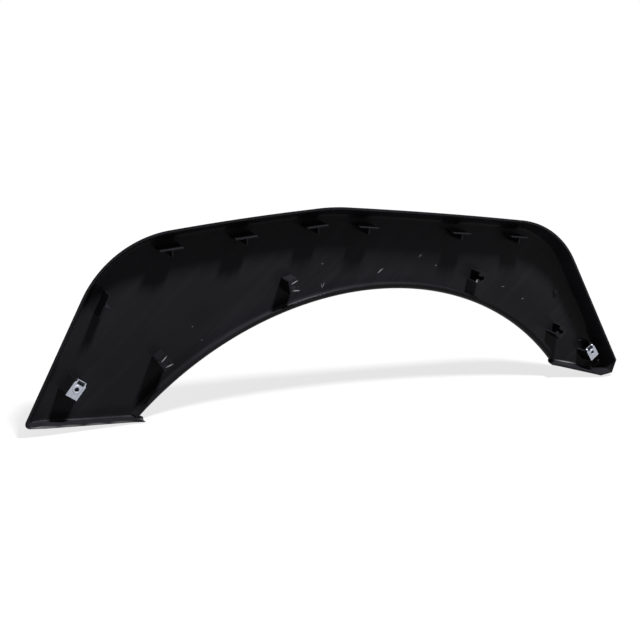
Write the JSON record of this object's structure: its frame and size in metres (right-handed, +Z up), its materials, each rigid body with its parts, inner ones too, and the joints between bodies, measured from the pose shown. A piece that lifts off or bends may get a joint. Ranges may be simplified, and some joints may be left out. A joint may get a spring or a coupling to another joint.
{
  "type": "wheel arch trim",
  "caption": "Moulded wheel arch trim with a rolled lip, edge wall and two feet, locating ribs, clip seats and folded spring nuts on towers.",
  "frame": {"origin": "mouth of the thread in the spring nut at the broad foot, on the thread's axis", "axes": "+X toward the narrow foot, +Y from the mating side to the show face along the wheel's axis, +Z up"},
  "size_m": [0.8429, 0.029, 0.2509],
  "materials": {
    "black_plastic": "semi-gloss moulded black",
    "zinc_steel": "bright zinc plating"
  },
  "bodies": {
    "root": {"trim_shell": "black_plastic", "spring_nut_broad_end": "zinc_steel", "spring_nut_narrow_end": "zinc_steel"}
  },
  "joints": []
}
